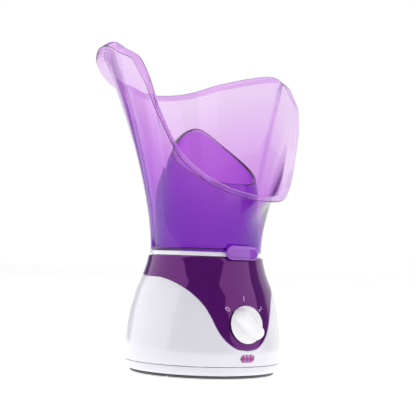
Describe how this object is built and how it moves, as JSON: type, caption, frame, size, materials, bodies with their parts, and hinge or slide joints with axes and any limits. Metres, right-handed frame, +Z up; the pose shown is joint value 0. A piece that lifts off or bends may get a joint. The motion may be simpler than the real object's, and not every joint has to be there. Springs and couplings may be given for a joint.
{
  "type": "facial steamer",
  "caption": "Table-top facial steamer: round heated base with a rotary switch, a clear inner steam cowl and a clear lift-off face mask.",
  "frame": {"origin": "on the table plane under the middle of the round base; the base plate's underside is 1 mm above it and the four feet touch it", "axes": "+Z up along the axis of the base, the bowl and the cowl; -Y towards the user, where the knob and the indicator are; +X to the user's right seen from the front"},
  "size_m": [0.1998, 0.2287, 0.3074],
  "materials": {
    "purple_cover": "high gloss opaque purple",
    "clear_purple": "clear purple moulding",
    "white_plastic": "glossy white",
    "knob_white": "smooth white",
    "lens_purple": "clear purple lens",
    "base_grey": "dark grey, fine texture",
    "foot_rubber": "matte grey",
    "screw_steel": "zinc-plated",
    "bowl_aluminium": "satin",
    "cast_aluminium": "as cast",
    "element_steel": "heat-tinted",
    "sheet_steel": "plain sheet",
    "seal_silicone": "matte silicone",
    "black_plastic": "moulded",
    "nylon": "natural nylon",
    "lead_sleeve": "braided sleeve",
    "lamp_glass": "clear"
  },
  "bodies": {
    "base": {"upper_cover": "purple_cover", "lower_housing": "white_plastic", "base_ring": "white_plastic", "base_plate": "base_grey", "foot_1": "foot_rubber", "foot_2": "foot_rubber", "foot_3": "foot_rubber", "foot_4": "foot_rubber", "base_screw_1": "screw_steel", "base_screw_2": "screw_steel", "base_screw_3": "screw_steel", "base_screw_4": "screw_steel", "outlet_collar": "white_plastic", "water_bowl": "bowl_aluminium", "bowl_seal": "seal_silicone", "heat_spreader": "cast_aluminium", "heating_element": "element_steel", "thermostat": "black_plastic", "thermostat_blade_left": "sheet_steel", "thermostat_blade_right": "sheet_steel", "heater_bracket": "sheet_steel", "bracket_post_1": "white_plastic", "bracket_post_2": "white_plastic", "bracket_post_3": "white_plastic", "bracket_screw_1": "screw_steel", "bracket_screw_2": "screw_steel", "bracket_screw_3": "screw_steel", "heater_lead_left": "lead_sleeve", "heater_lead_right": "lead_sleeve", "terminal_block": "nylon", "cord_inlet": "black_plastic", "rotary_switch": "black_plastic", "switch_plate": "sheet_steel", "indicator_lens": "lens_purple", "neon_lamp": "lamp_glass"},
    "dial": {"knob": "knob_white", "switch_shaft": "nylon"},
    "cowl": {"steam_cowl": "clear_purple"},
    "mask": {"face_mask": "clear_purple"}
  },
  "joints": [
    {"name": "knob_turn", "type": "hinge", "parent": "base", "child": "dial", "pos_m": [0, -0.07113, 0.049], "axis": [0, 0.986, -0.1667], "range_deg": [0, 102]},
    {"name": "cowl_lift", "type": "slide", "parent": "base", "child": "cowl", "axis": [0, 0, 1], "range_m": [0, 0.06]},
    {"name": "mask_lift", "type": "slide", "parent": "base", "child": "mask", "axis": [0, 0, 1], "range_m": [0, 0.15]}
  ]
}
